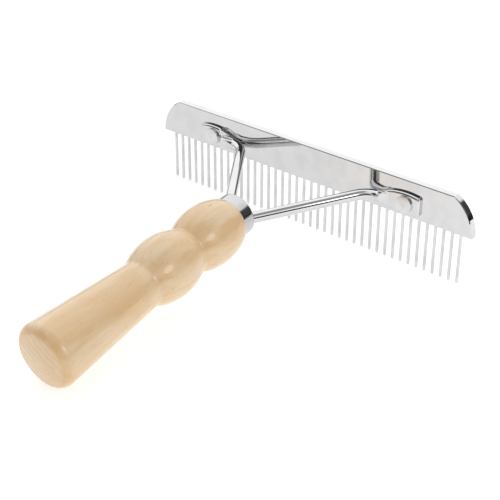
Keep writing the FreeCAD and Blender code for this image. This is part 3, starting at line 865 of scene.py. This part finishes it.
class RAKE_OT_ferrule(bpy.types.Operator):
    """Finish the ferrule in chrome"""

    bl_idname = "rake.ferrule"
    bl_label = "Ferrule"

    def execute(self, context):
        finish = context.scene.rake_finish
        dress(["ferrule"], metal("ferrule_chrome_plating", finish.ferrule, roughness=0.13,
                                 lay=(0.2, 1.0, 0.2), lay_scale=3.0, polish=0.3,
                                 lay_depth=0.0005, wave_depth=0.008))
        return {"FINISHED"}


class RAKE_OT_handle(bpy.types.Operator):
    """Turn the wooden handle"""

    bl_idname = "rake.handle"
    bl_label = "Handle"

    def execute(self, context):
        sizes = context.scene.rake_handle_sizes
        finish = context.scene.rake_finish
        origin = handle_origin(sizes)
        place = Matrix.Translation(origin) @ Matrix.Rotation(sizes.tilt, 4, "X")
        rings = []
        for radius, back in handle_profile(sizes):
            if radius == 0.0:
                rings.append([place @ Vector((0.0, -back, 0.0))])
                continue
            # Sanding leaves shallow hollows, which fade out beside the ferrule.
            depth = sizes.hand_finish * smoothstep(0.0, 2 * MM, back - sizes.ferrule_length)
            ring = []
            for number in range(HANDLE_POINTS_ROUND):
                turn = 2 * math.pi * number / HANDLE_POINTS_ROUND
                local = Vector((radius * math.sin(turn), -back, radius * math.cos(turn)))
                spot = Vector(along / size for along, size in zip(local, SANDING_SPOT))
                trimmed = 1 - depth * (0.5 + 0.5 * noise.noise(spot)) / radius
                ring.append(place @ Vector((local.x * trimmed, local.y, local.z * trimmed)))
            rings.append(ring)
        lacquered = wood(finish, sizes, origin)
        handle = outward(skin("turned_handle", rings, lacquered, HANDLE_CREASE))
        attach(handle, "root")
        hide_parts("handle")
        return {"FINISHED"}


class RAKE_OT_stage(bpy.types.Operator):
    """Set up the floor, the light tent, the soft box and the camera"""

    bl_idname = "rake.stage"
    bl_label = "Stage"

    def execute(self, context):
        stage = context.scene.rake_stage
        make_floor(stage)
        make_tent(context.scene, stage)
        make_key(stage)
        make_camera(context.scene, stage)
        context.scene.view_settings.view_transform = "Standard"
        return {"FINISHED"}


FLOOR_DARK = (0.59, 0.59, 0.59)
FLOOR_LIGHT = (0.61, 0.61, 0.61)
FLOOR_MOTTLE_SCALE = 3.0
# The floor's glow grows towards +X as painted light: a pool of the soft box's light painted on the
# table.
SOFT_BOX_POOL_REACH = 0.12  # metres to either side over which the floor's glow grows
SOFT_BOX_POOL_GROWTH = 1.3


def make_floor(stage):
    """A wide pale table that glows a little, with a painted pool of light that makes it brighter
    towards +X, under the soft box.
    """
    material, graph, shader = new_material("pale_table")
    place = graph.add("ShaderNodeTexCoord", output="Object")
    mottle = graph.grain(place, EVEN, FLOOR_MOTTLE_SCALE, detail=2.0)
    graph.give(shader.inputs["Base Color"], graph.blend(mottle, FLOOR_DARK, FLOOR_LIGHT))
    shader.inputs["Roughness"].default_value = 0.9
    shader.inputs["Specular IOR Level"].default_value = 0.1
    shader.inputs["Emission Color"].default_value = (1.0, 1.0, 1.0, 1.0)
    across = graph.add("ShaderNodeSeparateXYZ", {0: place}, output="X")
    # Painted light: the glow is brighter towards +X, where the soft box stands.
    glow = graph.range(across, -SOFT_BOX_POOL_REACH, SOFT_BOX_POOL_REACH, stage.floor_glow,
                       stage.floor_glow * SOFT_BOX_POOL_GROWTH, smooth=True)
    graph.give(shader.inputs["Emission Strength"], glow)
    half = stage.floor_size / 2
    corners = [(-half, -half, 0), (half, -half, 0), (half, half, 0), (-half, half, 0)]
    mesh = bpy.data.meshes.new("table")
    mesh.from_pydata(corners, [], [(0, 1, 2, 3)])
    mesh.materials.append(material)
    floor = bpy.data.objects.new("table", mesh)
    bpy.context.scene.collection.objects.link(floor)


def direction(azimuth, elevation):
    """A unit vector turned from +Y towards +X, then up."""
    level = math.cos(elevation)
    return Vector((math.sin(azimuth) * level, math.cos(azimuth) * level, math.sin(elevation)))


# The tent's dark lower edge, and the elevations between which it brightens.
TENT_EDGE_LIGHT = 0.20
TENT_EDGE_LOW = math.radians(2)
TENT_EDGE_HIGH = math.radians(13)

# Patches of the light tent that polished metal shows: the name, the turn from +Y towards +X,
# the elevation, the half width and the edge's softness, in degrees, and the change in light.
# -1 is a gap that gives none.
TENT_PATCHES = (
    ("camera_side", -149.0, 32.0, 22.0, 4.0, -0.95),
    ("camera", 150.0, 12.0, 33.0, 6.0, -0.80),
    ("far_corner", 47.0, 8.0, 30.0, 3.0, -0.94),
    ("overhead", 95.0, 72.0, 23.0, 6.0, -0.65),
    ("below_soft_box", 108.0, 4.0, 21.0, 3.0, -0.97),
    ("back_panel", -40.0, 40.0, 42.0, 16.0, 0.24),
)


def make_tent(scene, stage):
    """A pale tent all round with dark gaps and a dark lower edge."""
    world = bpy.data.worlds.new("light_tent")
    world.use_nodes = True
    graph = Graph(world.node_tree)
    toward = graph.add("ShaderNodeTexCoord", output="Generated")
    height = graph.add("ShaderNodeSeparateXYZ", {0: toward}, output="Z")
    light = graph.range(height, math.sin(TENT_EDGE_LOW), math.sin(TENT_EDGE_HIGH),
                        TENT_EDGE_LIGHT, stage.tent, smooth=True)
    for _, azimuth, elevation, half_width, softness, change in TENT_PATCHES:
        centre = direction(math.radians(azimuth), math.radians(elevation))
        near = graph.vector("DOT_PRODUCT", toward, tuple(centre), output="Value")
        inner = math.cos(math.radians(half_width - softness))
        outer = math.cos(math.radians(half_width + softness))
        light = graph.math("MULTIPLY", light,
                           graph.range(near, outer, inner, 1.0, 1.0 + change, smooth=True))
    tint = graph.add("ShaderNodeCombineColor", {"Red": light, "Green": light, "Blue": light})
    background = graph.add("ShaderNodeBackground", {"Color": tint, "Strength": 1.0})
    graph.add("ShaderNodeOutputWorld", {"Surface": background})
    scene.world = world


def make_key(stage):
    """A round soft box. Its power comes from its radiance and its area."""
    light = bpy.data.lights.new("soft_box", "AREA")
    light.shape = "DISK"
    light.size = stage.key_width
    light.energy = stage.key_brightness * math.pi * (math.pi * stage.key_width ** 2 / 4)
    box = bpy.data.objects.new("soft_box", light)
    toward = direction(stage.key_azimuth, stage.key_elevation)
    box.location = toward * stage.key_distance
    box.rotation_euler = toward.to_track_quat("Z", "Y").to_euler()
    bpy.context.scene.collection.objects.link(box)


def make_camera(scene, stage):
    """A camera that looks at the aim point, with a small roll."""
    aim = Vector(stage.aim)
    back = direction(math.pi - stage.azimuth, stage.elevation)
    camera = bpy.data.cameras.new("camera")
    camera.sensor_fit = "HORIZONTAL"
    camera.sensor_width = 36.0
    camera.lens = stage.lens
    camera.clip_start = 0.01
    holder = bpy.data.objects.new("camera", camera)
    turn = back.to_track_quat("Z", "Y").to_matrix().to_4x4()
    holder.matrix_world = (Matrix.Translation(aim + back * stage.distance) @ turn
                           @ Matrix.Rotation(stage.roll, 4, "Z"))
    scene.collection.objects.link(holder)
    scene.camera = holder


# ---------------------------------------------------------------------------------------------
# Add-on
# ---------------------------------------------------------------------------------------------

STEPS = (RAKE_OT_head_bar, RAKE_OT_pins, RAKE_OT_arms, RAKE_OT_rivets, RAKE_OT_ferrule,
         RAKE_OT_handle, RAKE_OT_stage)
SETTINGS = (("rake_arm_sizes", RakeArmSizes), ("rake_handle_sizes", RakeHandleSizes),
            ("rake_finish", RakeFinish), ("rake_stage", RakeStage))


class RAKE_PT_panel(bpy.types.Panel):
    """Lists the pieces and their settings"""

    bl_idname = "RAKE_PT_panel"
    bl_label = "Deshedding rake"
    bl_space_type = "VIEW_3D"
    bl_region_type = "UI"
    bl_category = "Rake"

    def draw(self, context):
        for step in STEPS:
            self.layout.operator(step.bl_idname)
        for name, group in SETTINGS:
            box = self.layout.box()
            values = getattr(context.scene, name)
            for setting in group.__annotations__:
                box.prop(values, setting)


def register():
    for _, group in SETTINGS:
        bpy.utils.register_class(group)
    for step in STEPS:
        bpy.utils.register_class(step)
    bpy.utils.register_class(RAKE_PT_panel)
    for name, group in SETTINGS:
        setattr(bpy.types.Scene, name, PointerProperty(type=group))


def unregister():
    for name, _ in SETTINGS:
        delattr(bpy.types.Scene, name)
    bpy.utils.unregister_class(RAKE_PT_panel)
    for step in reversed(STEPS):
        bpy.utils.unregister_class(step)
    for _, group in reversed(SETTINGS):
        bpy.utils.unregister_class(group)


def main():
    register()
    bpy.ops.rake.head_bar()
    bpy.ops.rake.pins()
    bpy.ops.rake.arms()
    bpy.ops.rake.rivets()
    bpy.ops.rake.ferrule()
    bpy.ops.rake.handle()
    bpy.ops.rake.stage()


if __name__ == "__main__":
    main()
